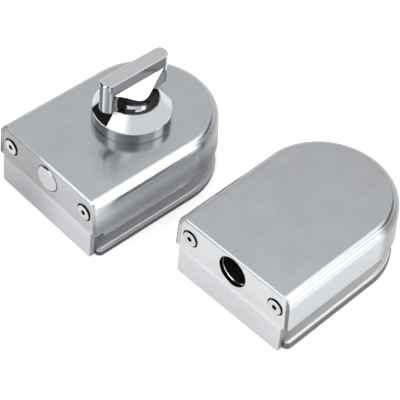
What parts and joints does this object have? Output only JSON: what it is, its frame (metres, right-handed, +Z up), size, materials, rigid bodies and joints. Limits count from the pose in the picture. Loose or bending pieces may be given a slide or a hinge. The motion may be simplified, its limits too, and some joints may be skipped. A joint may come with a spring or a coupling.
{
  "type": "glass door lock",
  "caption": "Clamp-on glass door lock: a rounded stainless lock body with thumb turn and sliding round bolt, and a matching keeper body with a strike hole, each gripping a glass edge.",
  "frame": {"origin": "on the lock's back plate, at its outer face, on the axis of the thumb turn", "axes": "+Z up from the back plates through the glass to the covers; -Y the way the bolt is thrown; +X from the lock to the keeper"},
  "size_m": [0.1621, 0.1219, 0.0658],
  "materials": {
    "cover_steel": "satin",
    "face_steel": "satin",
    "back_steel": "satin",
    "clamp_steel": "satin",
    "cast_frame": "cast",
    "gasket": "matte",
    "screw_steel": "satin",
    "plated_steel": "plated",
    "bolt_steel": "satin",
    "polished_chrome": "polished",
    "nylon": "matte",
    "black_plastic": "matte"
  },
  "bodies": {
    "housings": {"lock_cover": "cover_steel", "lock_face_plate": "face_steel", "lock_frame": "cast_frame", "lock_back_plate": "back_steel", "lock_clamp_plate": "clamp_steel", "lock_back_gasket": "gasket", "lock_front_gasket": "gasket", "lock_clamp_screws": "screw_steel", "lock_cover_posts": "plated_steel", "lock_cover_screws": "screw_steel", "lock_face_screws": "screw_steel", "lock_back_screws": "screw_steel", "lock_bolt_bush": "nylon", "rosette": "polished_chrome", "rosette_nut": "plated_steel", "knob_washer": "black_plastic", "keeper_cover": "cover_steel", "keeper_face_plate": "face_steel", "keeper_frame": "cast_frame", "keeper_back_plate": "back_steel", "keeper_clamp_plate": "clamp_steel", "keeper_back_gasket": "gasket", "keeper_front_gasket": "gasket", "keeper_clamp_screws": "screw_steel", "keeper_cover_posts": "plated_steel", "keeper_cover_screws": "screw_steel", "keeper_face_screws": "screw_steel", "keeper_back_screws": "screw_steel", "keeper_strike_plate": "back_steel", "keeper_strike_cup": "black_plastic"},
    "knob": {"thumb_turn": "polished_chrome", "spindle": "plated_steel", "crank": "plated_steel", "crank_pin": "plated_steel", "knob_grub_screw": "screw_steel", "knob_circlip": "plated_steel"},
    "bolt": {"bolt": "bolt_steel"}
  },
  "joints": [
    {"name": "knob_turn", "type": "hinge", "parent": "housings", "child": "knob", "pos_m": [0, 0, 0.05], "axis": [0, 0, 1], "range_deg": [0, 90]},
    {"name": "bolt_throw", "type": "slide", "parent": "housings", "child": "bolt", "axis": [0, -1, 0], "range_m": [0, 0.01273]}
  ],
  "couplings": [
    {"joint": "bolt_throw", "follows": "knob_turn", "m_per_rad": 0.0081029}
  ]
}
